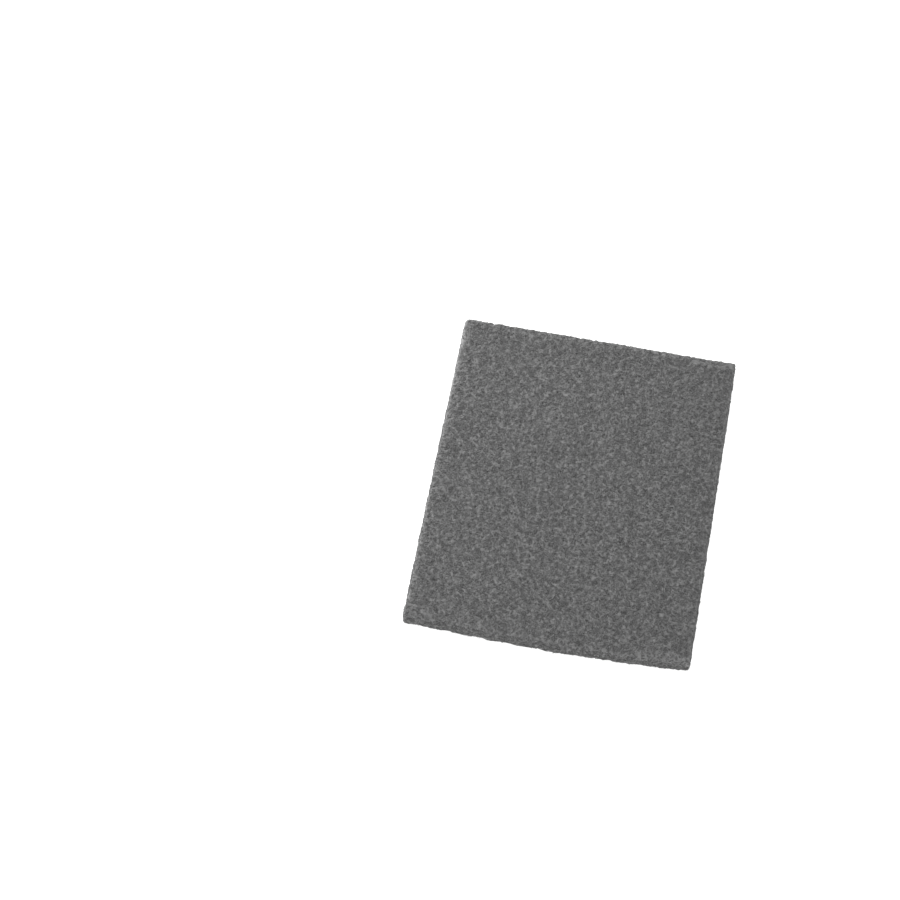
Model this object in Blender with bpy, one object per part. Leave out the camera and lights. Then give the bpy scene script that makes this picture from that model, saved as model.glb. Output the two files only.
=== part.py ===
"""Abrasive hand pad: one sheet of bonded fibre web, cut to size and lying flat.

Metres, +Z up. The origin is under the middle of the pad, on the surface that it lies on.
The width runs along X and the length along Y. The near edge, at -Y, is cut with a slight bow.
"""

import bmesh
import bpy
from mathutils import Matrix, Vector, noise

# Driving dimensions: the sheet's overall size
PAD_WIDTH = 0.1524
PAD_LENGTH = 0.2286
PAD_THICKNESS = 0.0080

# Cut edges: the rounding of the far left corner, of the upper rim and of the lower one, the bow
# of the near edge and where its crown lies, how deep the cut wanders in from the overall size on
# each kind of edge, and how often
CORNER_RADIUS = 0.0018
UPPER_RIM_RADIUS = 0.0012
LOWER_RIM_RADIUS = 0.0005
NEAR_EDGE_BOW = 0.0030
BOW_CROWN_X = 0.0150
SIDE_WANDER = 0.0004
FAR_WANDER = 0.0006
NEAR_WANDER = 0.0014
WANDER_PITCH = 0.0080

# Upper face: the web is pressed thinner along the cut, its loft rises and falls in broad
# patches, and its fibres bunch in small tufts
PRESSED_DEPTH = 0.0008
PRESSED_BREADTH = 0.0070
LOFT_DEPTH = 0.0005
LOFT_PITCH = 0.0380
TUFT_DEPTH = 0.00015
TUFT_PITCH = 0.0065

# Mesh: the spacing of the cuts over the pad, how near a cut may pass to a corner and still use
# it, the steps in each rounded edge, and the angle in radians past which an edge stays sharp
MESH_SPACING = 0.0040
CUT_TOLERANCE = 0.00002
EDGE_STEPS = 2
SHARP_ANGLE = 0.9

# Fibre web: dark neutral grey, without any shine
WEB_COLOUR = (0.138, 0.138, 0.138, 1.0)
WEB_ROUGHNESS = 0.95

# The two in-plane axes, how much of a face's normal points up or down when the face is a wide
# one, and the patch of the noise field that each uneven surface reads
ACROSS, ALONG = 0, 1
SQUARE = 0.999
WANDER_PATCH = 3.7
LOFT_PATCH = 11.3
TUFT_PATCH = 23.9


def clear_scene():
    """Remove every object, so that the pad is the only one."""
    for item in list(bpy.data.objects):
        bpy.data.objects.remove(item, do_unlink=True)


def unevenness(along_x, along_y, patch):
    """Return a smooth value from 0 to 1 at a place in the noise field."""
    value = noise.noise(Vector((along_x, along_y, patch)))
    return 0.5 + 0.5 * max(-1.0, min(1.0, value))


def round_edges(bm, edges, radius):
    """Round some of the slab's edges."""
    bmesh.ops.bevel(
        bm,
        geom=edges,
        offset=radius,
        segments=EDGE_STEPS,
        profile=0.5,
        affect="EDGES",
        material=-1,
        clamp_overlap=True,
    )


def far_left_corner(bm):
    """Return the upright edge at the slab's far left corner."""
    return [
        edge
        for edge in bm.edges
        if all(vert.co.x < 0 and vert.co.y > 0 for vert in edge.verts)
    ]


def rim(bm, facing):
    """Return the edges around the slab's upper face, or around the lower one."""
    return [edge for face in bm.faces if face.normal.z * facing > SQUARE for edge in face.edges]


def rounded_slab():
    """Return the sheet before it is worn uneven: a slab with rounded rims on z = 0."""
    bm = bmesh.new()
    bmesh.ops.create_cube(bm, size=1.0)
    stretch = Matrix.Diagonal((PAD_WIDTH, PAD_LENGTH, PAD_THICKNESS, 1.0))
    lift = Matrix.Translation((0.0, 0.0, PAD_THICKNESS / 2))
    bmesh.ops.transform(bm, matrix=lift @ stretch, verts=bm.verts)
    bm.normal_update()
    round_edges(bm, far_left_corner(bm), CORNER_RADIUS)
    round_edges(bm, rim(bm, 1), UPPER_RIM_RADIUS)
    round_edges(bm, rim(bm, -1), LOWER_RIM_RADIUS)
    return bm


def cut_positions(overall):
    """Return evenly spaced places between the rounded edges of a side."""
    flat = overall - 2 * CORNER_RADIUS
    cells = max(2, round(flat / MESH_SPACING))
    return [flat * (step / cells - 0.5) for step in range(1, cells)]


def divide_mesh(bm):
    """Cut the upper face and the walls into cells, and leave the underside whole."""
    for axis, overall in ((ACROSS, PAD_WIDTH), (ALONG, PAD_LENGTH)):
        normal = Vector((0.0, 0.0, 0.0))
        normal[axis] = 1.0
        for position in cut_positions(overall):
            faces = [face for face in bm.faces if face.normal.z > -SQUARE]
            edges = list(dict.fromkeys(edge for face in faces for edge in face.edges))
            verts = list(dict.fromkeys(vert for face in faces for vert in face.verts))
            bmesh.ops.bisect_plane(
                bm,
                geom=verts + edges + faces,
                dist=CUT_TOLERANCE,
                plane_co=normal * position,
                plane_no=normal,
            )


def pressed_dip(x, y):
    """Return how far the upper face is pressed down near the cut."""
    to_edge = min(PAD_WIDTH / 2 - abs(x), PAD_LENGTH / 2 - abs(y))
    nearness = max(0.0, 1 - to_edge / PRESSED_BREADTH)
    return PRESSED_DEPTH * nearness ** 2


def upper_face_dip(x, y):
    """Return how far the upper face lies below the full thickness, up to a constant."""
    loft = LOFT_DEPTH * unevenness(x / LOFT_PITCH, y / LOFT_PITCH, LOFT_PATCH)
    tufts = TUFT_DEPTH * unevenness(x / TUFT_PITCH, y / TUFT_PITCH, TUFT_PATCH)
    return pressed_dip(x, y) + loft + tufts


def press_upper_face(bm):
    """Lower the upper face unevenly and keep the underside flat on z = 0."""
    dips = {vert: upper_face_dip(vert.co.x, vert.co.y) for vert in bm.verts}
    loftiest = min(dips.values())
    for vert, dip in dips.items():
        vert.co.z *= 1 - (dip - loftiest) / PAD_THICKNESS


def bow_recess(x):
    """Return how far the near edge lies in from the overall length at x."""
    end = PAD_WIDTH / 2 if x > BOW_CROWN_X else -PAD_WIDTH / 2
    return NEAR_EDGE_BOW * ((x - BOW_CROWN_X) / (end - BOW_CROWN_X)) ** 2


def edge_recess(axis, sign, station):
    """Return how far one side of the outline lies in from the overall size.

    axis is ACROSS for the left and right sides and ALONG for the near and far ones. sign is
    the end of that axis, and station is the place on the other axis.
    """
    side = 2 * axis + (sign > 0)
    wander = unevenness(station / WANDER_PITCH, side, WANDER_PATCH)
    if axis == ACROSS:
        return SIDE_WANDER * wander
    if sign > 0:
        return FAR_WANDER * wander
    return NEAR_WANDER * wander + bow_recess(station)


def cut_outline(bm):
    """Draw each row of the slab in until its ends lie on the wandering, bowed outline."""
    places = {vert: vert.co.copy() for vert in bm.verts}
    for axis, overall in ((ACROSS, PAD_WIDTH), (ALONG, PAD_LENGTH)):
        for sign in (-1, 1):
            side = {vert: place for vert, place in places.items() if place[axis] * sign > 0}
            recess = {
                vert: edge_recess(axis, sign, place[1 - axis]) for vert, place in side.items()
            }
            proudest = min(recess.values())
            for vert, place in side.items():
                share = (recess[vert] - proudest) / (overall / 2)
                vert.co[axis] = place[axis] * (1 - share)


def web_material():
    """Return the matt grey of the fibre web."""
    material = bpy.data.materials.new("fibre_web")
    material.use_nodes = True
    shader = material.node_tree.nodes["Principled BSDF"]
    shader.inputs["Base Color"].default_value = WEB_COLOUR
    shader.inputs["Roughness"].default_value = WEB_ROUGHNESS
    shader.inputs["Metallic"].default_value = 0.0
    material.diffuse_color = WEB_COLOUR
    return material


def build_pad():
    """Build the pad as one closed solid and put it in the scene."""
    bm = rounded_slab()
    divide_mesh(bm)
    press_upper_face(bm)
    cut_outline(bm)
    bmesh.ops.recalc_face_normals(bm, faces=bm.faces)
    mesh = bpy.data.meshes.new("abrasive_pad")
    bm.to_mesh(mesh)
    bm.free()
    mesh.materials.append(web_material())
    mesh.shade_smooth()
    mesh.set_sharp_from_angle(angle=SHARP_ANGLE)
    pad = bpy.data.objects.new("abrasive_pad", mesh)
    bpy.context.scene.collection.objects.link(pad)


clear_scene()
build_pad()
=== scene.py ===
"""Looks of an abrasive hand pad: a sheet of crimped, grit-coated fibre web on a pale floor.

Lengths are in metres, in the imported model's frame: the origin is under the middle of the pad,
X runs across it, Y along it and Z up. The near edge, at -Y, is cut with a slight bow.
"""

import logging
import math
from abc import ABC, abstractmethod
from collections.abc import Iterator
from dataclasses import dataclass, field
from enum import Enum

import bmesh
import bpy
import numpy as np
from mathutils import Matrix, Vector, noise
from mathutils.bvhtree import BVHTree
from mathutils.kdtree import KDTree


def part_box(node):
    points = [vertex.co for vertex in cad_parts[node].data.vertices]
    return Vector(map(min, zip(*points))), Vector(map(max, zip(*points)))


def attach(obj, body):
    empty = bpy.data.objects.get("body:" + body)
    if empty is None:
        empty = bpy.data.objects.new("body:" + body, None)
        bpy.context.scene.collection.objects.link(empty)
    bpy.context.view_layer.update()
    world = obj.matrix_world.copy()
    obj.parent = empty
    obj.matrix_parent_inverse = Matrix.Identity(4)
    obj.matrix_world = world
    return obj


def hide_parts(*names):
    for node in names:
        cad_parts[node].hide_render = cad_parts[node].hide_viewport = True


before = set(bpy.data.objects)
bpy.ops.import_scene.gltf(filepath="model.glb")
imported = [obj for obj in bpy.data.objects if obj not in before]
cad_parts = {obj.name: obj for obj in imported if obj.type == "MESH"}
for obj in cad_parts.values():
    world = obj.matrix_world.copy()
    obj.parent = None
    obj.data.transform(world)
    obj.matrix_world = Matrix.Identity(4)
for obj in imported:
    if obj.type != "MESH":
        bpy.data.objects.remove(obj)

LOG = logging.getLogger("abrasive_pad")
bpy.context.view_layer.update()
PAD_NODE = "abrasive_pad"
LOWEST, HIGHEST = (np.array(corner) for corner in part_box(PAD_NODE))
BODY = "root"
BAKE_MAP = "OFBake"
TONE_ATTRIBUTE = "strand_tone"
RIM_HIGHLIGHT_ATTRIBUTE = "cut_paleness_and_highlight"

Colour = tuple[float, float, float]


class Face(Enum):
    """A side of the pad: the axis that it is square to, and which way it faces."""

    UPPER = (2, 1)
    UNDERSIDE = (2, -1)
    RIGHT = (0, 1)
    LEFT = (0, -1)
    FAR = (1, 1)
    NEAR = (1, -1)

    @property
    def axis(self) -> int:
        """The axis that the face is square to."""
        return self.value[0]

    @property
    def outward(self) -> Vector:
        """The face's outward direction."""
        return Vector([self.value[1] * (axis == self.axis) for axis in range(3)])

    @property
    def in_plane(self) -> list[int]:
        """The two axes that the face spans, with a cut edge's long way first."""
        return [axis for axis in range(3) if axis != self.axis]

    @property
    def area(self) -> float:
        """The face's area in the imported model's box."""
        return float(np.prod((HIGHEST - LOWEST)[self.in_plane]))


CUT_EDGES = (Face.LEFT, Face.RIGHT, Face.NEAR, Face.FAR)
# Each cut rim's paleness: paler cut fibre ends plus a painted highlight, strongest on the left
# rim, which faces the lamp, and weakest on the right.
RIM_PALENESS_AND_HIGHLIGHT = {Face.LEFT: 1.0, Face.FAR: 0.3, Face.NEAR: 0.2, Face.RIGHT: 0.1}
FRAY_DEPTH = {Face.LEFT: 0.0003, Face.FAR: 0.0004, Face.NEAR: 0.0015, Face.RIGHT: 0.0003}


class NodeSheet:
    """A node tree that is written one node at a time."""

    CLOUD_DETAIL = 2.0
    MIX_LOW, MIX_HIGH, MIX_RESULT = 6, 7, 2
    RANGE_LOW, RANGE_HIGH = 3, 4

    def __init__(self, tree: bpy.types.NodeTree) -> None:
        """Start on an emptied tree.

        Args:
            tree: The tree to write in.
        """
        self.tree = tree
        tree.nodes.clear()

    def add(self, kind: str, inputs: dict | None = None, **settings: object) -> bpy.types.Node:
        """Add a node.

        Args:
            kind: The node's type, without the ShaderNode that it starts with.
            inputs: Each input's value, or the socket that feeds it, by name or number.
            **settings: The node's own properties.

        Returns:
            The new node.
        """
        prefix = "" if kind.startswith("NodeGroup") else "ShaderNode"
        node = self.tree.nodes.new(prefix + kind)
        for name, value in settings.items():
            setattr(node, name, value)
        for name, value in (inputs or {}).items():
            if isinstance(value, bpy.types.NodeSocket):
                self.tree.links.new(value, node.inputs[name])
            else:
                node.inputs[name].default_value = value
        return node

    def maths(self, operation: str, *values: object, clamp: bool = False) -> bpy.types.NodeSocket:
        """Calculate with up to three values.

        Args:
            operation: The Math node's operation.
            *values: Numbers or sockets.
            clamp: Whether the result is kept between 0 and 1.

        Returns:
            The result's socket.
        """
        inputs = dict(enumerate(values))
        return self.add("Math", inputs, operation=operation, use_clamp=clamp).outputs[0]

    def scaled(self, vector: object, scale: object) -> bpy.types.NodeSocket:
        """Multiply a place or a colour by a scale of one, or three, numbers.

        Args:
            vector: The socket of the place or colour.
            scale: A number, a socket, or a tuple of three numbers.

        Returns:
            The result's socket.
        """
        if isinstance(scale, tuple):
            inputs = {0: vector, 1: scale}
            return self.add("VectorMath", inputs, operation="MULTIPLY").outputs[0]
        inputs = {0: vector, "Scale": scale}
        return self.add("VectorMath", inputs, operation="SCALE").outputs[0]

    def clouds(self, place: object, rate: float) -> bpy.types.NodeSocket:
        """Add soft clouds, from 0 to 1.

        Args:
            place: The socket of the place.
            rate: How many clouds there are to the metre.

        Returns:
            The clouds' socket.
        """
        inputs = {"Vector": place, "Scale": rate, "Detail": self.CLOUD_DETAIL}
        return self.add("TexNoise", inputs).outputs["Fac"]

    def swing(self, value: object, depth: float) -> bpy.types.NodeSocket:
        """Turn a value from 0 to 1 into a factor around 1.

        Args:
            value: The value's socket.
            depth: How far the factor swings either way.

        Returns:
            The factor's socket.
        """
        return self.maths("MULTIPLY_ADD", value, 2 * depth, 1.0 - depth)

    def blend(self, share: object, low: Colour, high: Colour) -> bpy.types.NodeSocket:
        """Mix two colours.

        Args:
            share: The socket of how much of the second colour shows.
            low: The first colour.
            high: The second colour.

        Returns:
            The mixed colour's socket.
        """
        inputs = {0: share, self.MIX_LOW: (*low, 1.0), self.MIX_HIGH: (*high, 1.0)}
        return self.add("Mix", inputs, data_type="RGBA").outputs[self.MIX_RESULT]

    def spread(self, value: object, limits: tuple[float, float]) -> bpy.types.NodeSocket:
        """Stretch a value from 0 to 1 over other limits.

        Args:
            value: The value's socket.
            limits: The results for 0 and for 1.

        Returns:
            The result's socket.
        """
        inputs = {0: value, self.RANGE_LOW: limits[0], self.RANGE_HIGH: limits[1]}
        return self.add("MapRange", inputs).outputs[0]

    def finish(self, **inputs: object) -> None:
        """Add the shader and the output that end a material.

        Args:
            **inputs: The shader's inputs, each named with underscores for spaces.
        """
        named = {name.replace("_", " "): value for name, value in inputs.items()}
        shader = self.add("BsdfPrincipled", named)
        self.add("OutputMaterial", {"Surface": shader.outputs[0]})


class FibreTangle:
    """The shader node group of crimped fibres that cross in several layers.

    Each layer's fibres are the lines where a smooth noise field passes its middle value, which
    curl and cross as crimped fibres do. Deeper layers lie lower.
    """

    NAME = "fibre_tangle"
    LAYERS = 5
    LAYER_STEP = Vector((13.1, 7.7, 21.3))
    LAYER_COARSENESS = 1.17
    LAYER_DROP = 0.17
    LAYER_DETAIL = 1.0
    MIDDLE_VALUE = 0.5
    GAP_HEIGHT = 0.15
    FIBRE_HEIGHT = 0.65

    @classmethod
    def group(cls) -> bpy.types.NodeTree:
        """Give the group, which is built at its first use.

        Returns:
            The group, with the fibres' Height and how much Fibre there is as its outputs.
        """
        if cls.NAME in bpy.data.node_groups:
            return bpy.data.node_groups[cls.NAME]
        tree = bpy.data.node_groups.new(cls.NAME, "ShaderNodeTree")
        sockets = tree.interface
        sockets.new_socket("Place", in_out="INPUT", socket_type="NodeSocketVector")
        sockets.new_socket("Fibres Per Metre", in_out="INPUT", socket_type="NodeSocketFloat")
        sockets.new_socket("Breadth", in_out="INPUT", socket_type="NodeSocketFloat")
        sockets.new_socket("Height", in_out="OUTPUT", socket_type="NodeSocketFloat")
        sockets.new_socket("Fibre", in_out="OUTPUT", socket_type="NodeSocketFloat")
        sheet = NodeSheet(tree)
        given = sheet.add("NodeGroupInput").outputs
        place = sheet.scaled(given["Place"], given["Fibres Per Metre"])
        height = cls._ridge(sheet, place, given["Breadth"], 0)
        for layer in range(1, cls.LAYERS):
            ridge = cls._ridge(sheet, place, given["Breadth"], layer)
            height = sheet.maths("MAXIMUM", height, ridge)
        inputs = {0: height, 1: cls.GAP_HEIGHT, 2: cls.FIBRE_HEIGHT}
        fibre = sheet.add("MapRange", inputs, interpolation_type="SMOOTHSTEP").outputs[0]
        sheet.add("NodeGroupOutput", {"Height": height, "Fibre": fibre})
        return tree

    @classmethod
    def _ridge(
        cls,
        sheet: NodeSheet,
        place: bpy.types.NodeSocket,
        breadth: bpy.types.NodeSocket,
        layer: int,
    ) -> bpy.types.NodeSocket:
        """Add the fibres of one layer.

        Args:
            sheet: The group's nodes.
            place: Where the surface point lies, with one fibre to the unit.
            breadth: How wide the fibres are.
            layer: The layer's number, from 0 at the top.

        Returns:
            The socket of the fibres' height.
        """
        shift = cls.LAYER_STEP * (layer + 1)
        moved = sheet.add("VectorMath", {0: place, 1: shift}, operation="ADD").outputs[0]
        rate = cls.LAYER_COARSENESS ** layer
        inputs = {"Vector": moved, "Scale": rate, "Detail": cls.LAYER_DETAIL}
        value = sheet.add("TexNoise", inputs).outputs["Fac"]
        off_line = sheet.maths("ABSOLUTE", sheet.maths("SUBTRACT", value, cls.MIDDLE_VALUE))
        ridge = sheet.maths("SUBTRACT", 1.0, sheet.maths("DIVIDE", off_line, breadth))
        ridge = sheet.maths("MAXIMUM", ridge, 0.0)
        return sheet.maths("MULTIPLY", ridge, 1.0 - cls.LAYER_DROP * layer)


class GritCoat:
    """The shader node group of fine grains that are bonded to the fibres."""

    NAME = "grit_coat"
    GRAIN_DEPTH = -0.6
    RESIN_SCALE = 0.6
    EVENNESS = 0.35

    @classmethod
    def group(cls) -> bpy.types.NodeTree:
        """Give the group, which is built at its first use.

        Returns:
            The group, with the Grain's value from 0 to 1 as its output.
        """
        if cls.NAME in bpy.data.node_groups:
            return bpy.data.node_groups[cls.NAME]
        tree = bpy.data.node_groups.new(cls.NAME, "ShaderNodeTree")
        sockets = tree.interface
        sockets.new_socket("Place", in_out="INPUT", socket_type="NodeSocketVector")
        sockets.new_socket("Grains Per Metre", in_out="INPUT", socket_type="NodeSocketFloat")
        sockets.new_socket("Grain", in_out="OUTPUT", socket_type="NodeSocketFloat")
        sheet = NodeSheet(tree)
        given = sheet.add("NodeGroupInput").outputs
        place = sheet.scaled(given["Place"], given["Grains Per Metre"])
        grains = sheet.add("TexVoronoi", {"Vector": place, "Scale": 1.0}).outputs["Distance"]
        resin = sheet.maths("ADD", sheet.clouds(place, cls.RESIN_SCALE), cls.EVENNESS)
        coat = sheet.maths("MULTIPLY_ADD", grains, cls.GRAIN_DEPTH, resin, clamp=True)
        sheet.add("NodeGroupOutput", {"Grain": coat})
        return tree


@dataclass(frozen=True)
class WebFinish:
    """The finish of the web's body: resin-coated fibres over deep gaps, which are painted darker
    as shade.
    """

    name: str
    # Painted shade: the gaps between the fibres are darker than the fibres.
    gap_shade_colour: Colour = (0.105, 0.105, 0.105)
    fibre_colour: Colour = (0.208, 0.208, 0.208)
    flattening: tuple[float, float, float] = (1.0, 0.65, 1.0)
    fibres_per_metre: float = 255.0
    fibre_breadth: float = 0.060
    grains_per_metre: float = 3600.0
    grain_depth: float = 0.10
    tufts_per_metre: float = 620.0
    tuft_depth: float = 0.45
    patches_per_metre: float = 45.0
    patch_depth: float = 0.04
    # How much the paler cut ends and the painted rim highlight lighten the colour.
    rim_paleness_and_highlight_gain: float = 0.70
    roughness: tuple[float, float] = (0.82, 1.0)
    relief: float = 0.00012
    grain_relief: float = 0.2
    specular: float = 0.2

    def material(self) -> bpy.types.Material:
        """Make the material, with its colour, roughness and relief from its nodes.

        Returns:
            The material.
        """
        material = bpy.data.materials.new(self.name)
        material.use_nodes = True
        sheet = NodeSheet(material.node_tree)
        place = sheet.add("TexCoord").outputs["Object"]
        web = sheet.scaled(place, self.flattening)
        tangle = sheet.add(
            "Group",
            {
                "Place": web,
                "Fibres Per Metre": self.fibres_per_metre,
                "Breadth": self.fibre_breadth,
            },
            node_tree=FibreTangle.group(),
        )
        inputs = {"Place": place, "Grains Per Metre": self.grains_per_metre}
        grain = sheet.add("Group", inputs, node_tree=GritCoat.group()).outputs["Grain"]
        # Painted shade: where no fibre lies, the colour darkens to the gaps' colour.
        colour = sheet.blend(tangle.outputs["Fibre"], self.gap_shade_colour, self.fibre_colour)
        height = sheet.maths("MULTIPLY_ADD", grain, self.grain_relief, tangle.outputs["Height"])
        bump = sheet.add("Bump", {"Strength": 1.0, "Distance": self.relief, "Height": height})
        sheet.finish(
            Base_Color=sheet.scaled(colour, self._shade(sheet, web, grain)),
            Roughness=sheet.spread(grain, self.roughness),
            Normal=bump.outputs[0],
            Specular_IOR_Level=self.specular,
        )
        return material

    def _shade(
        self, sheet: NodeSheet, web: bpy.types.NodeSocket, grain: bpy.types.NodeSocket
    ) -> bpy.types.NodeSocket:
        """Add the unevenness of the colour: grit, bunched fibres and the paler cut, which also
        carries a painted highlight on the rims that face the lamp.

        Args:
            sheet: The material's nodes.
            web: Where the surface point lies in the web.
            grain: The grit on the fibres.

        Returns:
            The socket of a factor around 1.
        """
        # Paler cut ends and a painted highlight near the rims that face the lamp.
        rim = sheet.add("Attribute", attribute_name=RIM_HIGHLIGHT_ATTRIBUTE).outputs["Fac"]
        factors = (
            sheet.swing(sheet.clouds(web, self.tufts_per_metre), self.tuft_depth),
            sheet.swing(sheet.clouds(web, self.patches_per_metre), self.patch_depth),
            sheet.maths("MULTIPLY_ADD", rim, self.rim_paleness_and_highlight_gain, 1.0),
        )
        shade = sheet.swing(grain, self.grain_depth)
        for factor in factors:
            shade = sheet.maths("MULTIPLY", shade, factor)
        return shade


@dataclass(frozen=True)
class StrandFinish:
    """The finish of a loose fibre: grey resin and grit over nylon, in the fibre's own tone."""

    name: str
    dark: Colour = (0.12, 0.12, 0.12)
    light: Colour = (0.236, 0.236, 0.236)
    grains_per_metre: float = 5200.0
    grain_depth: float = 0.15
    roughness: tuple[float, float] = (0.62, 0.95)
    relief: float = 0.00003
    specular: float = 0.3

    def material(self) -> bpy.types.Material:
        """Make the material, which reads each fibre's tone from the mesh.

        Returns:
            The material.
        """
        material = bpy.data.materials.new(self.name)
        material.use_nodes = True
        sheet = NodeSheet(material.node_tree)
        place = sheet.add("TexCoord").outputs["Object"]
        inputs = {"Place": place, "Grains Per Metre": self.grains_per_metre}
        grain = sheet.add("Group", inputs, node_tree=GritCoat.group()).outputs["Grain"]
        tone = sheet.add("Attribute", attribute_name=TONE_ATTRIBUTE).outputs["Fac"]
        colour = sheet.blend(tone, self.dark, self.light)
        bump = sheet.add("Bump", {"Strength": 1.0, "Distance": self.relief, "Height": grain})
        sheet.finish(
            Base_Color=sheet.scaled(colour, sheet.swing(grain, self.grain_depth)),
            Roughness=sheet.spread(grain, self.roughness),
            Normal=bump.outputs[0],
            Specular_IOR_Level=self.specular,
        )
        return material


def put_in_scene(name: str, data: bpy.types.ID) -> bpy.types.Object:
    """Link a mesh, curve, lamp or camera to the scene as an object at the origin.

    Args:
        name: The object's name.
        data: What the object holds.

    Returns:
        The new object.
    """
    item = bpy.data.objects.new(name, data)
    bpy.context.scene.collection.objects.link(item)
    return item


def evaluated_mesh(item: bpy.types.Object) -> bpy.types.Mesh:
    """Return a new mesh of the object as its modifiers or curve settings make it."""
    depsgraph = bpy.context.evaluated_depsgraph_get()
    return bpy.data.meshes.new_from_object(item.evaluated_get(depsgraph))


def values_of(
    items: bpy.types.bpy_prop_collection, name: str, kind: type, width: int = 1
) -> np.ndarray:
    """Read one property of a mesh's points, corners or faces.

    Args:
        items: The points, corners or faces.
        name: The property.
        kind: The array's type of number.
        width: How many numbers each of them has.

    Returns:
        The numbers, with a row for each item where width is over 1.
    """
    values = np.empty(len(items) * width, dtype=kind)
    items.foreach_get(name, values)
    return values.reshape(-1, width) if width > 1 else values


def unevenness(place: Vector) -> float:
    """Return a smooth value, mostly from -0.5 to 0.5, at a place in the noise field."""
    return noise.noise(place) / 2


def scattered(
    low: np.ndarray, high: np.ndarray, count: int, rng: np.random.Generator
) -> np.ndarray:
    """Scatter places over a rectangle without crowding: each lies at random in its own cell.

    Args:
        low: The rectangle's lowest corner.
        high: Its highest corner.
        count: How many places are wanted.
        rng: The random draws.

    Returns:
        The places, with a row for each.
    """
    width, length = high - low
    columns = max(1, round(math.sqrt(count * width / length)))
    rows = math.ceil(count / columns)
    cell = np.arange(count)
    corner = np.stack([cell % columns, cell // columns], axis=1)
    return low + (corner + rng.uniform(0.0, 1.0, (count, 2))) * (width / columns, length / rows)


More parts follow.
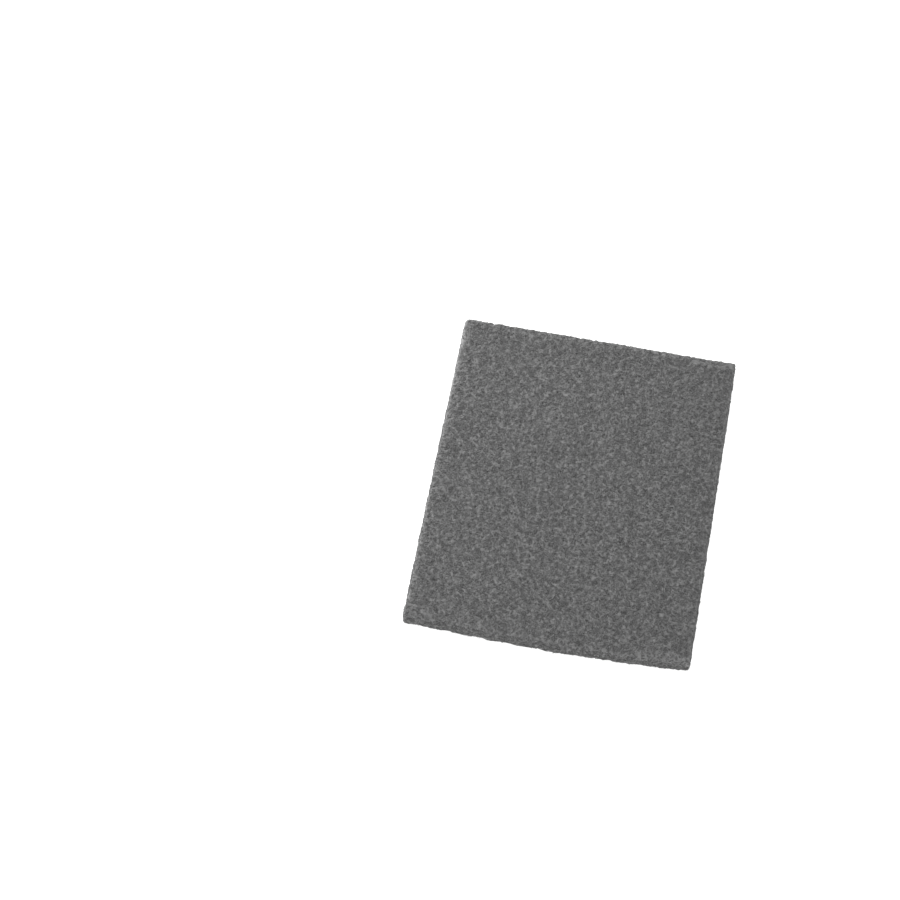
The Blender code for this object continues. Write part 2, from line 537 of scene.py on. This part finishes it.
@dataclass
class WebBody:
    """The felted body of the pad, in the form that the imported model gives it."""

    FACE_FINISH, CUT_FINISH = 0, 1

    name: str = "web_body"
    merge_distance: float = 0.00001
    voxel: float = 0.00089
    tuft_pitch: float = 0.0021
    tuft_depth: float = 0.00090
    lie: tuple[float, float, float] = (1.0, 0.65, 1.0)
    pore_pitch: float = 0.0013
    pore_depth: float = 0.00030
    fray_pitch: float = 0.0042
    cut_pitch: float = 0.0018
    cut_depth: float = 0.0008
    cut_steepness: float = 0.6
    rim_breadth: float = 0.0011
    corner_hold: float = 0.8
    clearance: float = 0.0003
    standoff: float = 0.002
    reach: float = 0.008
    map_gap: float = 0.003
    fill: float = 0.95
    face_finish: WebFinish = WebFinish("web_face")
    # The cut edges' gaps are painted a deeper shade than those of the faces.
    cut_finish: WebFinish = WebFinish(
        "web_cut_edge",
        gap_shade_colour=(0.085, 0.085, 0.085),
        fibre_colour=(0.225, 0.225, 0.225),
        flattening=(1.0, 0.8, 1.6),
    )
    item: bpy.types.Object = field(init=False, repr=False)
    surface: BVHTree = field(init=False, repr=False)

    def build(self) -> None:
        """Model the body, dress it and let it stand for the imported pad."""
        self.item = put_in_scene(self.name, self._remeshed())
        self._dress()
        self._mark_rim_paleness_and_highlight()
        self._map()
        self._roughen()
        mesh = self.item.data
        points = [vert.co for vert in mesh.vertices]
        self.surface = BVHTree.FromPolygons(points, [face.vertices for face in mesh.polygons])
        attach(self.item, BODY)
        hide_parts(PAD_NODE)
        LOG.info("%s: %d faces", self.name, len(mesh.polygons))

    def point_on(self, face: Face, place: np.ndarray) -> Vector | None:
        """Find the body's surface at a place on one of its faces.

        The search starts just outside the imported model's box. It ends a short way in, so that
        past a corner it doesn't find one of the other sides.

        Args:
            face: The face.
            place: The place on the two axes that the face spans.

        Returns:
            The outermost point there, or None past the face's edge.
        """
        corner = HIGHEST if face.outward[face.axis] > 0 else LOWEST
        start = Vector(corner) + face.outward * self.standoff
        for axis, position in zip(face.in_plane, place):
            start[axis] = position
        return self.surface.ray_cast(start, -face.outward, self.reach)[0]

    def _remeshed(self) -> bpy.types.Mesh:
        """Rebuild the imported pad's form in small, even faces.

        Returns:
            The new mesh.
        """
        bm = bmesh.new()
        bm.from_mesh(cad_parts[PAD_NODE].data)
        bmesh.ops.remove_doubles(bm, verts=bm.verts, dist=self.merge_distance)
        mesh = bpy.data.meshes.new("merged_pad")
        bm.to_mesh(mesh)
        bm.free()
        blank = put_in_scene("merged_pad", mesh)
        remesh = blank.modifiers.new("even_faces", "REMESH")
        remesh.mode = "VOXEL"
        remesh.voxel_size = self.voxel
        crisp = blank.modifiers.new("crisp_form", "SHRINKWRAP")
        crisp.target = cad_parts[PAD_NODE]
        crisp.wrap_method = "NEAREST_SURFACEPOINT"
        result = evaluated_mesh(blank)
        bpy.data.objects.remove(blank)
        bpy.data.meshes.remove(mesh)
        result.name = self.name
        return result

    def _dress(self) -> None:
        """Give the two wide faces and the cut edges their finishes."""
        mesh = self.item.data
        mesh.materials.clear()
        mesh.materials.append(self.face_finish.material())
        mesh.materials.append(self.cut_finish.material())
        for polygon in mesh.polygons:
            cut = abs(polygon.normal.z) < self.cut_steepness
            polygon.material_index = self.CUT_FINISH if cut else self.FACE_FINISH
        mesh.shade_smooth()

    def _mark_rim_paleness_and_highlight(self) -> None:
        """Record how pale the fibres near the cut are, from 0 to 1, for the finish to read: the
        paler cut fibre ends, and a painted highlight that is strongest on the left rim, which
        faces the lamp.
        """
        mesh = self.item.data
        cut = [face for face in mesh.polygons if face.material_index == self.CUT_FINISH]
        tree = KDTree(len(cut))
        for index, polygon in enumerate(cut):
            tree.insert(polygon.center, index)
        tree.balance()
        pale_and_highlight = []
        for vert in mesh.vertices:
            _, index, distance = tree.find(vert.co)
            side = max(CUT_EDGES, key=lambda face: face.outward.dot(cut[index].normal))
            # Painted highlight: the rims facing the lamp, the left one most, get the largest
            # share.
            pale_and_highlight.append(RIM_PALENESS_AND_HIGHLIGHT[side] * max(0.0, 1.0 - distance / self.rim_breadth))
        attribute = mesh.attributes.new(RIM_HIGHLIGHT_ATTRIBUTE, "FLOAT", "POINT")
        attribute.data.foreach_set("value", np.array(pale_and_highlight, dtype=np.float32))

    def _map(self) -> None:
        """Lay the body's six sides next to each other on the bake map, each seen straight on."""
        mesh = self.item.data
        width, length, thickness = HIGHEST - LOWEST
        corners = {
            Face.UPPER: (self.map_gap, self.map_gap),
            Face.UNDERSIDE: (width + 2 * self.map_gap, self.map_gap),
        }
        for row, face in enumerate(CUT_EDGES):
            strip = length + 2 * self.map_gap + row * (thickness + self.map_gap)
            corners[face] = (self.map_gap, strip)
        places = values_of(mesh.vertices, "co", np.float32, 3) - LOWEST
        places = places[values_of(mesh.loops, "vertex_index", np.int32)]
        normals = values_of(mesh.polygons, "normal", np.float32, 3)
        normals = np.repeat(normals, values_of(mesh.polygons, "loop_total", np.int32), axis=0)
        squarest = np.abs(normals).argmax(1)
        mapped = np.empty((len(places), 2))
        for face, corner in corners.items():
            chosen = (squarest == face.axis) & (normals @ np.array(face.outward) > 0)
            mapped[chosen] = places[chosen][:, face.in_plane] + corner
        map_width = 2 * width + 3 * self.map_gap
        layer = mesh.uv_layers.new(name=BAKE_MAP)
        layer.data.foreach_set("uv", (mapped / map_width).astype(np.float32).ravel())

    def _roughen(self) -> None:
        """Work tufts, pores, open cuts and frayed edges into the body, around its form.

        The upright corners, where a cut crosses another, keep most of their sharpness.
        """
        mesh = self.item.data
        lie = Vector(self.lie)
        normals = [normal.vector.copy() for normal in mesh.vertex_normals]
        roughened = []
        for vert, normal in zip(mesh.vertices, normals):
            sides = ((depth, normal.dot(face.outward)) for face, depth in FRAY_DEPTH.items())
            reliefs = (
                (self.tuft_depth, self.tuft_pitch),
                (self.pore_depth, self.pore_pitch),
                (self.cut_depth * normal.xy.length, self.cut_pitch),
                (sum(depth * max(0.0, share) for depth, share in sides), self.fray_pitch),
            )
            place = vert.co * lie
            sink = sum(depth * unevenness(place / pitch) for depth, pitch in reliefs)
            cornerness = 2 * abs(normal.x * normal.y)
            roughened.append(vert.co - normal * sink * (1.0 - self.corner_hold * cornerness))
        roughened = np.array(roughened)
        roughened[:, 2] = np.maximum(roughened[:, 2], LOWEST[2] + self.clearance)
        mesh.vertices.foreach_set("co", roughened.ravel())
        mesh.update()


@dataclass
class FibreLayer(ABC):
    """Loose fibres on some faces of the body, in one mesh of thin three-sided tubes."""

    SIDES = 3
    CAP_CORNERS = ((0.0, 0.1), (1.0, 0.1), (0.5, 0.9))
    SIDE_CORNERS = ((0.0, 0.0), (0.0, 1.0), (1.0, 1.0), (1.0, 0.0))

    name: str
    faces: tuple[Face, ...]
    count: int
    seed: int
    thickness: float = 0.00022
    points: int = 8
    end_taper: float = 0.55
    size_limits: tuple[float, float] = (0.6, 1.4)
    middle_tone: float = 0.5
    tone_spread: float = 0.25
    merge_distance: float = 0.000001
    map_margin: float = 0.08

    def build(self, body: WebBody, finish: bpy.types.Material) -> None:
        """Lay the layer's fibres on the body and dress them.

        Args:
            body: The body that the fibres lie on.
            finish: The fibres' material.
        """
        rng = np.random.default_rng(self.seed)
        total = sum(face.area for face in self.faces)
        paths = []
        for face in self.faces:
            share = round(self.count * face.area / total)
            paths.extend(self._paths(face, share, body, rng))
        mesh = self._tubes(paths, rng)
        self._tone(mesh, len(paths), rng)
        self._map(mesh, len(paths))
        self._close(mesh)
        mesh.materials.append(finish)
        mesh.shade_smooth()
        item = put_in_scene(self.name, mesh)
        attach(item, BODY)
        LOG.info("%s: %d fibres, %d faces", self.name, len(paths), len(mesh.polygons))

    @abstractmethod
    def _paths(
        self, face: Face, count: int, body: WebBody, rng: np.random.Generator
    ) -> Iterator[np.ndarray]:
        """Give the points of each fibre on one face.

        Args:
            face: The face.
            count: How many fibres are tried.
            body: The body that the fibres lie on.
            rng: The layer's random draws.

        Yields:
            The points of one fibre.
        """

    def _section(self) -> bpy.types.Object:
        """Make the closed triangle that is swept along every fibre.

        Returns:
            The triangle's curve object.
        """
        curve = bpy.data.curves.new("strand_section", "CURVE")
        ring = curve.splines.new("POLY")
        ring.points.add(self.SIDES - 1)
        ring.use_cyclic_u = True
        for step, point in enumerate(ring.points):
            angle = 2 * math.pi * step / self.SIDES
            corner = Vector((math.cos(angle), math.sin(angle), 0.0)) * self.thickness / 2
            point.co = (*corner, 1.0)
        return put_in_scene("strand_section", curve)

    def _tubes(self, paths: list[np.ndarray], rng: np.random.Generator) -> bpy.types.Mesh:
        """Sweep the section along the paths.

        Args:
            paths: The points of each fibre.
            rng: The layer's random draws.

        Returns:
            One mesh. It has the two end caps of every fibre first, and then the sides of one
            fibre after another, ring by ring.
        """
        section = self._section()
        curve = bpy.data.curves.new(self.name, "CURVE")
        curve.dimensions = "3D"
        curve.bevel_mode = "OBJECT"
        curve.bevel_object = section
        curve.use_fill_caps = True
        along = np.linspace(-1.0, 1.0, self.points)
        taper = 1.0 - (1.0 - self.end_taper) * along ** 2
        sizes = rng.uniform(*self.size_limits, len(paths))
        for path, size in zip(paths, sizes):
            spline = curve.splines.new("POLY")
            spline.points.add(self.points - 1)
            spline.points.foreach_set("co", np.c_[path, np.ones(self.points)].ravel())
            spline.points.foreach_set("radius", taper * size)
        item = put_in_scene(self.name, curve)
        mesh = evaluated_mesh(item)
        bpy.data.objects.remove(item)
        bpy.data.objects.remove(section)
        mesh.name = self.name
        return mesh

    def _per_face(self, values: np.ndarray) -> np.ndarray:
        """Repeat each fibre's value for all of its faces, in the mesh's order."""
        sides = self.SIDES * (self.points - 1)
        return np.concatenate([np.repeat(values, 2), np.repeat(values, sides)])

    def _tone(self, mesh: bpy.types.Mesh, fibres: int, rng: np.random.Generator) -> None:
        """Give every fibre its own tone, from 0 to 1, as a face attribute.

        Args:
            mesh: The fibres.
            fibres: How many there are.
            rng: The layer's random draws.
        """
        tones = np.clip(rng.normal(self.middle_tone, self.tone_spread, fibres), 0.0, 1.0)
        attribute = mesh.attributes.new(TONE_ATTRIBUTE, "FLOAT", "FACE")
        attribute.data.foreach_set("value", self._per_face(tones).astype(np.float32))

    def _map(self, mesh: bpy.types.Mesh, fibres: int) -> None:
        """Give every fibre its own cell of the bake map, and every face its place there.

        A cell has a row for each stretch between two rings, and one at each end for the caps.

        Args:
            mesh: The fibres.
            fibres: How many there are.
        """
        stretches = self.points - 1
        cap = np.array(self.CAP_CORNERS)
        side = np.array(self.SIDE_CORNERS) / (self.SIDES, 1.0)
        around = np.arange(self.SIDES) / self.SIDES
        corners = np.stack(np.meshgrid(around, np.arange(1, self.points)), axis=2)
        caps = np.concatenate([cap, cap + (0.0, self.points)])
        sides = (corners.reshape(-1, 1, 2) + side).reshape(-1, 2)
        places = np.concatenate([np.tile(caps, (fibres, 1)), np.tile(sides, (fibres, 1))])
        fibre = np.concatenate(
            [np.repeat(np.arange(fibres), len(caps)), np.repeat(np.arange(fibres), len(sides))]
        )
        columns = math.ceil(math.sqrt(fibres))
        places = places * (1.0 - 2 * self.map_margin) / (1.0, stretches + 2) + self.map_margin
        places += np.stack([fibre % columns, fibre // columns], axis=1)
        for layer in list(mesh.uv_layers):
            mesh.uv_layers.remove(layer)
        layer = mesh.uv_layers.new(name=BAKE_MAP)
        layer.data.foreach_set("uv", (places / columns).astype(np.float32).ravel())

    def _close(self, mesh: bpy.types.Mesh) -> None:
        """Join the caps to the tubes and turn every face outwards.

        Args:
            mesh: The fibres.
        """
        bm = bmesh.new()
        bm.from_mesh(mesh)
        bmesh.ops.remove_doubles(bm, verts=bm.verts, dist=self.merge_distance)
        bmesh.ops.recalc_face_normals(bm, faces=bm.faces)
        bm.to_mesh(mesh)
        bm.free()


@dataclass
class CrimpedFibres(FibreLayer):
    """Crimped fibres that lie on the body and weave in and out of it."""

    length: tuple[float, float] = (0.006, 0.015)
    main_angle: float = math.pi / 2
    spread_angle: float = 1.1
    crimp_turn: float = 0.9
    crimp_pitch: float = 0.0048
    crimp_limits: tuple[float, float] = (0.7, 1.4)
    drift_turn: float = 0.9
    weaves: float = 2.0
    sink: float = 0.00022
    rise: float = 0.00045
    margin: float = 0.0006

    def _paths(
        self, face: Face, count: int, body: WebBody, rng: np.random.Generator
    ) -> Iterator[np.ndarray]:
        """Give the points of each fibre on one face, which weaves in and out of the body.

        Args:
            face: The face.
            count: How many fibres are tried. One that reaches past the face is left out.
            body: The body that the fibres lie on.
            rng: The layer's random draws.

        Yields:
            The points of one fibre.
        """
        laid = self._laid_flat(face, count, rng)
        phase = rng.uniform(0.0, 2 * math.pi, (count, 1))
        wave = np.sin(2 * math.pi * self.weaves * np.linspace(0.0, 1.0, self.points) + phase)
        lifts = (self.rise - self.sink) / 2 + (self.rise + self.sink) / 2 * wave
        lowest = LOWEST[2] + self.thickness * self.size_limits[1] / 2
        for places, rises in zip(laid, lifts):
            hits = [body.point_on(face, place) for place in places]
            if None in hits:
                continue
            path = np.array([hit + face.outward * rise for hit, rise in zip(hits, rises)])
            path[:, 2] = np.maximum(path[:, 2], lowest)
            yield path

    def _laid_flat(self, face: Face, count: int, rng: np.random.Generator) -> np.ndarray:
        """Lay crimped fibres at random over a face, on its two axes.

        Args:
            face: The face.
            count: How many fibres are laid.
            rng: The layer's random draws.

        Returns:
            The places of each fibre's points, by fibre, point and axis.
        """
        step = rng.uniform(*self.length, (count, 1)) / (self.points - 1)
        along = step * np.arange(self.points)
        pitch = self.crimp_pitch * rng.uniform(*self.crimp_limits, (count, 1))
        phase = rng.uniform(0.0, 2 * math.pi, (count, 1))
        drift = rng.normal(0.0, self.drift_turn, (count, 1))
        heading = (
            self.main_angle
            + rng.uniform(-self.spread_angle, self.spread_angle, (count, 1))
            + self.crimp_turn * np.sin(2 * math.pi * along / pitch + phase)
            + drift * np.linspace(0.0, 1.0, self.points)
        )
        steps = np.stack([np.cos(heading), np.sin(heading)], axis=2) * step[:, :, None]
        places = np.cumsum(steps, axis=1)
        low = LOWEST[face.in_plane] + self.margin
        high = HIGHEST[face.in_plane] - self.margin
        middle = scattered(low, high, count, rng)
        places += (middle - places.mean(1))[:, None, :]
        places += np.maximum(low - places.min(1), 0.0)[:, None, :]
        places -= np.maximum(places.max(1) - high, 0.0)[:, None, :]
        return places


@dataclass
class CutEnds(FibreLayer):
    """Short ends of fibre that stand out of the body."""

    thickness: float = 0.00018
    points: int = 4
    end_taper: float = 0.6
    inside: float = 0.0006
    outside: tuple[float, float] = (0.0001, 0.0007)
    lean: float = 0.0007
    curl: float = 1.5
    margin: float = 0.0005

    def _paths(
        self, face: Face, count: int, body: WebBody, rng: np.random.Generator
    ) -> Iterator[np.ndarray]:
        """Give the points of each end on one face, from inside the body outwards.

        Args:
            face: The face.
            count: How many ends are tried. One that lies past the face is left out.
            body: The body that the ends stand out of.
            rng: The layer's random draws.

        Yields:
            The points of one end.
        """
        low = LOWEST[face.in_plane] + self.margin
        high = HIGHEST[face.in_plane] - self.margin
        share = np.linspace(0.0, 1.0, self.points)[:, None]
        outward = np.array(face.outward)
        for place in scattered(low, high, count, rng):
            out = rng.uniform(*self.outside)
            side = rng.normal(0.0, self.lean, 3) * (1.0 - np.abs(outward))
            hit = body.point_on(face, place)
            if hit is None:
                continue
            stand = outward * ((self.inside + out) * share - self.inside)
            path = np.array(hit) + stand + side * share ** self.curl
            path[:, 2] = np.maximum(path[:, 2], LOWEST[2] + self.thickness)
            yield path


@dataclass
class Studio:
    """The pale floor, the soft light and the camera."""

    floor_size: float = 6.0
    floor_colour: Colour = (0.86, 0.86, 0.86)
    floor_glow: float = 0.90
    sky_colour: Colour = (1.0, 1.0, 1.0)
    sky_strength: float = 0.785
    key_place: tuple[float, float, float] = (-0.6, 0.27, 0.32)
    key_size: float = 0.45
    key_power: float = 4.75
    aim: tuple[float, float, float] = (-0.07030, 0.01830, 0.0)
    distance: float = 2.534
    azimuth: float = -3.38
    elevation: float = 46.30
    roll: float = 7.18
    lens: float = 186.0
    sensor: float = 36.0

    def build(self) -> None:
        """Lay the floor, light it and set up the camera."""
        bpy.context.scene.view_settings.view_transform = "Standard"
        self._floor()
        self._sky()
        self._key()
        self._camera()

    def _floor(self) -> None:
        """Lay a plain pale floor, which isn't part of the object."""
        bm = bmesh.new()
        bmesh.ops.create_grid(bm, x_segments=1, y_segments=1, size=self.floor_size / 2)
        mesh = bpy.data.meshes.new("floor")
        bm.to_mesh(mesh)
        bm.free()
        material = bpy.data.materials.new("pale_floor")
        material.use_nodes = True
        NodeSheet(material.node_tree).finish(
            Base_Color=(*self.floor_colour, 1.0),
            Roughness=1.0,
            Specular_IOR_Level=0.0,
            Emission_Color=(*self.floor_colour, 1.0),
            Emission_Strength=self.floor_glow,
        )
        mesh.materials.append(material)
        put_in_scene("floor", mesh)

    def _sky(self) -> None:
        """Light everything evenly from all round."""
        world = bpy.data.worlds.new("soft_fill")
        world.use_nodes = True
        background = world.node_tree.nodes["Background"]
        background.inputs["Color"].default_value = (*self.sky_colour, 1.0)
        background.inputs["Strength"].default_value = self.sky_strength
        bpy.context.scene.world = world

    def _key(self) -> None:
        """Hang a large soft lamp on the left, turned to the pad."""
        lamp = bpy.data.lights.new("key", "AREA")
        lamp.shape = "SQUARE"
        lamp.size = self.key_size
        lamp.energy = self.key_power
        place = Vector(self.key_place)
        turn = (-place).to_track_quat("-Z", "Y").to_matrix().to_4x4()
        item = put_in_scene("key", lamp)
        item.matrix_world = Matrix.Translation(place) @ turn
        item.visible_camera = False

    def _camera(self) -> None:
        """Set the camera to look down on the pad at the photograph's angle."""
        azimuth = math.radians(self.azimuth)
        elevation = math.radians(self.elevation)
        roll = math.radians(self.roll)
        forward = Vector((
            math.sin(azimuth) * math.cos(elevation),
            math.cos(azimuth) * math.cos(elevation),
            -math.sin(elevation),
        ))
        level = Vector((math.cos(azimuth), -math.sin(azimuth), 0.0))
        above = level.cross(forward)
        right = level * math.cos(roll) + above * math.sin(roll)
        up = above * math.cos(roll) - level * math.sin(roll)
        camera = bpy.data.cameras.new("camera")
        camera.lens = self.lens
        camera.sensor_width = self.sensor
        item = put_in_scene("camera", camera)
        place = Vector(self.aim) - forward * self.distance
        turn = Matrix((right, up, -forward)).transposed().to_4x4()
        item.matrix_world = Matrix.Translation(place) @ turn
        bpy.context.scene.camera = item


def main() -> None:
    """Build the studio and the pad's looks."""
    logging.basicConfig(level=logging.INFO, format="%(message)s")
    Studio().build()
    body = WebBody()
    body.build()
    finish = StrandFinish("web_strand").material()
    layers = (
        CrimpedFibres("upper_strands_a", (Face.UPPER,), count=4300, seed=11),
        CrimpedFibres("upper_strands_b", (Face.UPPER,), count=4300, seed=12),
        CutEnds("upper_loose_ends", (Face.UPPER,), count=1800, seed=13, lean=0.0012),
        CrimpedFibres("underside_strands", (Face.UNDERSIDE,), count=4000, seed=14),
        CrimpedFibres(
            "cut_edge_strands",
            CUT_EDGES,
            count=2400,
            seed=15,
            length=(0.003, 0.008),
            main_angle=0.0,
            spread_angle=0.9,
            crimp_turn=0.8,
        ),
        CutEnds("cut_edge_ends", CUT_EDGES, count=3500, seed=16),
    )
    for layer in layers:
        layer.build(body, finish)


if __name__ == "__main__":
    main()
